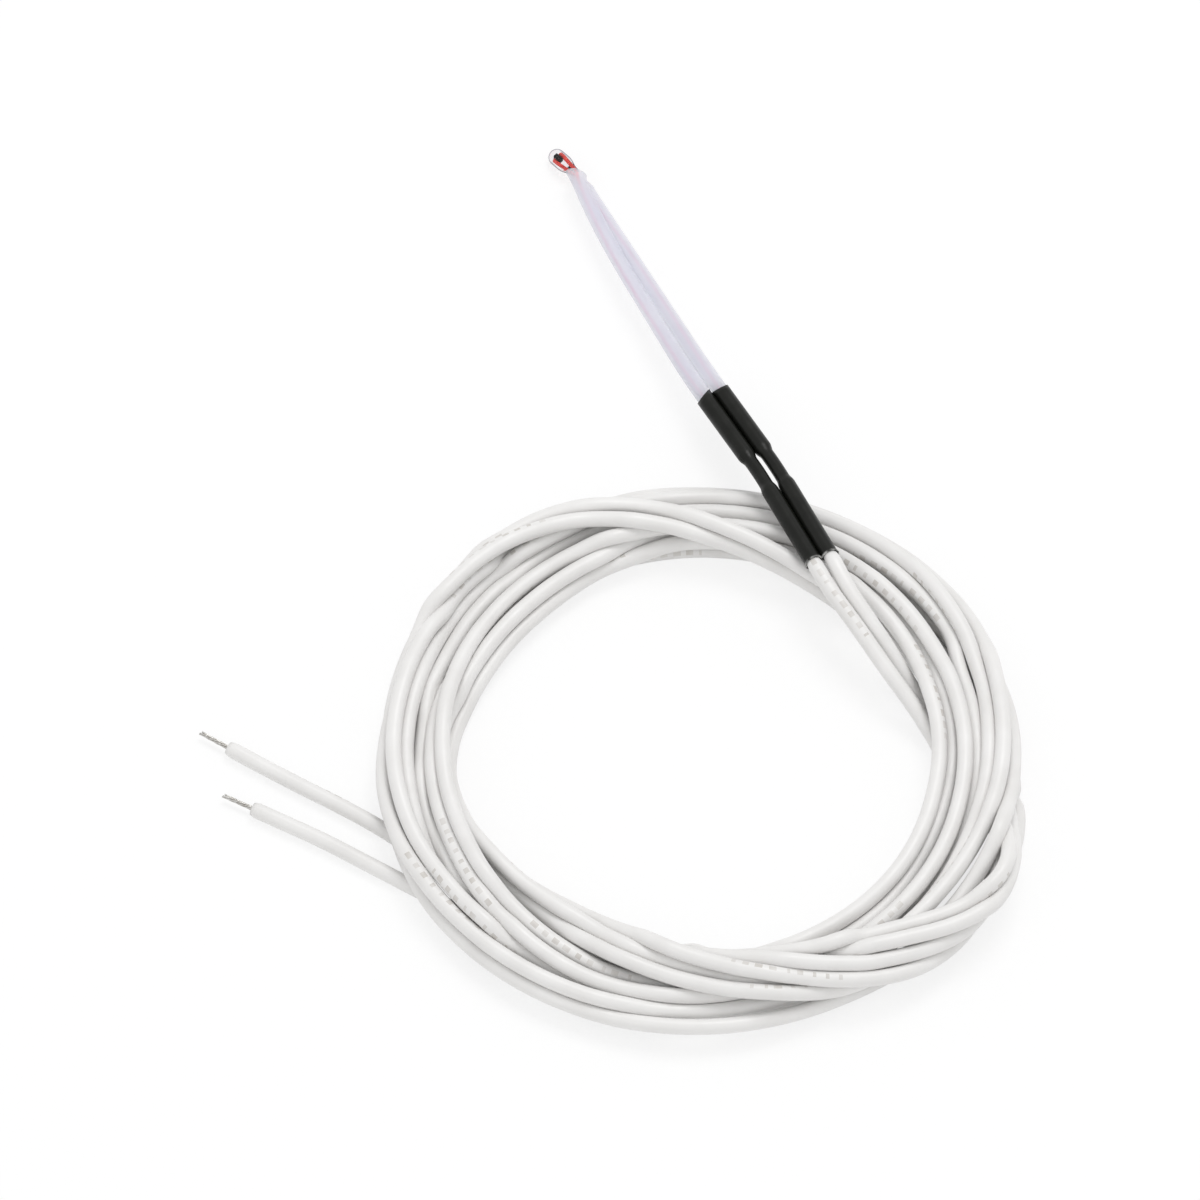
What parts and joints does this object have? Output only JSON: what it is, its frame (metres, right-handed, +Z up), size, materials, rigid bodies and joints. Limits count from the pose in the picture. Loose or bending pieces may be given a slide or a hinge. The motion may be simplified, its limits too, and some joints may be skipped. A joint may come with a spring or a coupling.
{
  "type": "thermistor probe",
  "caption": "Glass bead temperature sensor on two milky sleeves, with black heat-shrink splices and a twin white lead wound in a flat coil that ends in stripped, tinned wires",
  "frame": {"origin": "under the middle of the probe, from the mouth of the black tubes to the bead's tip, on the surface that everything lies on", "axes": "+Y along the probe towards the glass bead, +Z up, the coil of wire towards -X and -Y"},
  "size_m": [0.0705, 0.0975, 0.0076],
  "materials": {
    "bead_glass": "clear fused glass",
    "chip": "black sintered wafer",
    "lead_wire": "red oxide-coated copper-clad wire",
    "sleeve": "milky translucent tube",
    "solder": "bright tin solder",
    "tinned_strand": "tinned copper strands",
    "heat_shrink": "satin black shrunk tube",
    "wire_insulation": "white insulation, slightly glossy"
  },
  "bodies": {
    "root": {"glass_bead": "bead_glass", "sensing_chip": "chip", "bead_lead_left": "lead_wire", "bead_lead_right": "lead_wire", "sleeve_left": "sleeve", "sleeve_right": "sleeve", "solder_joint_left": "solder", "solder_joint_right": "solder", "conductor_left": "tinned_strand", "conductor_right": "tinned_strand", "heat_shrink_left": "heat_shrink", "heat_shrink_right": "heat_shrink", "wire_exit_left": "wire_insulation", "wire_exit_right": "wire_insulation", "wire_coil": "wire_insulation", "wire_tail_left": "wire_insulation", "wire_tail_right": "wire_insulation", "stripped_end_left": "tinned_strand", "stripped_end_right": "tinned_strand"}
  },
  "joints": []
}
